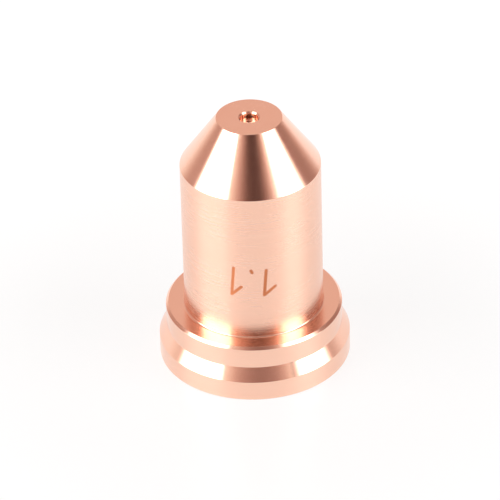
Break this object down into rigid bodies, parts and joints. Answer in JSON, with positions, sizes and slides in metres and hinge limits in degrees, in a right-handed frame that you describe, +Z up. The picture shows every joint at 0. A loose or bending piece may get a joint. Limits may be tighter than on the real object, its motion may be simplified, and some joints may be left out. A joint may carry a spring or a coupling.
{
  "type": "plasma torch nozzle",
  "caption": "Turned copper nozzle for a plasma cutting torch: stepped base flange, plain round body, tapered nose with a small central jet orifice, hollow from below.",
  "frame": {"origin": "centre of the flat base face, on the turning axis", "axes": "+Z up along the turning axis, from the base towards the nose and the jet orifice; X and Y lie in the base face, with the bore-size mark on the -Y side"},
  "size_m": [0.022, 0.022, 0.0312],
  "materials": {
    "copper": "satin"
  },
  "bodies": {
    "root": {"nozzle": "copper"}
  },
  "joints": []
}
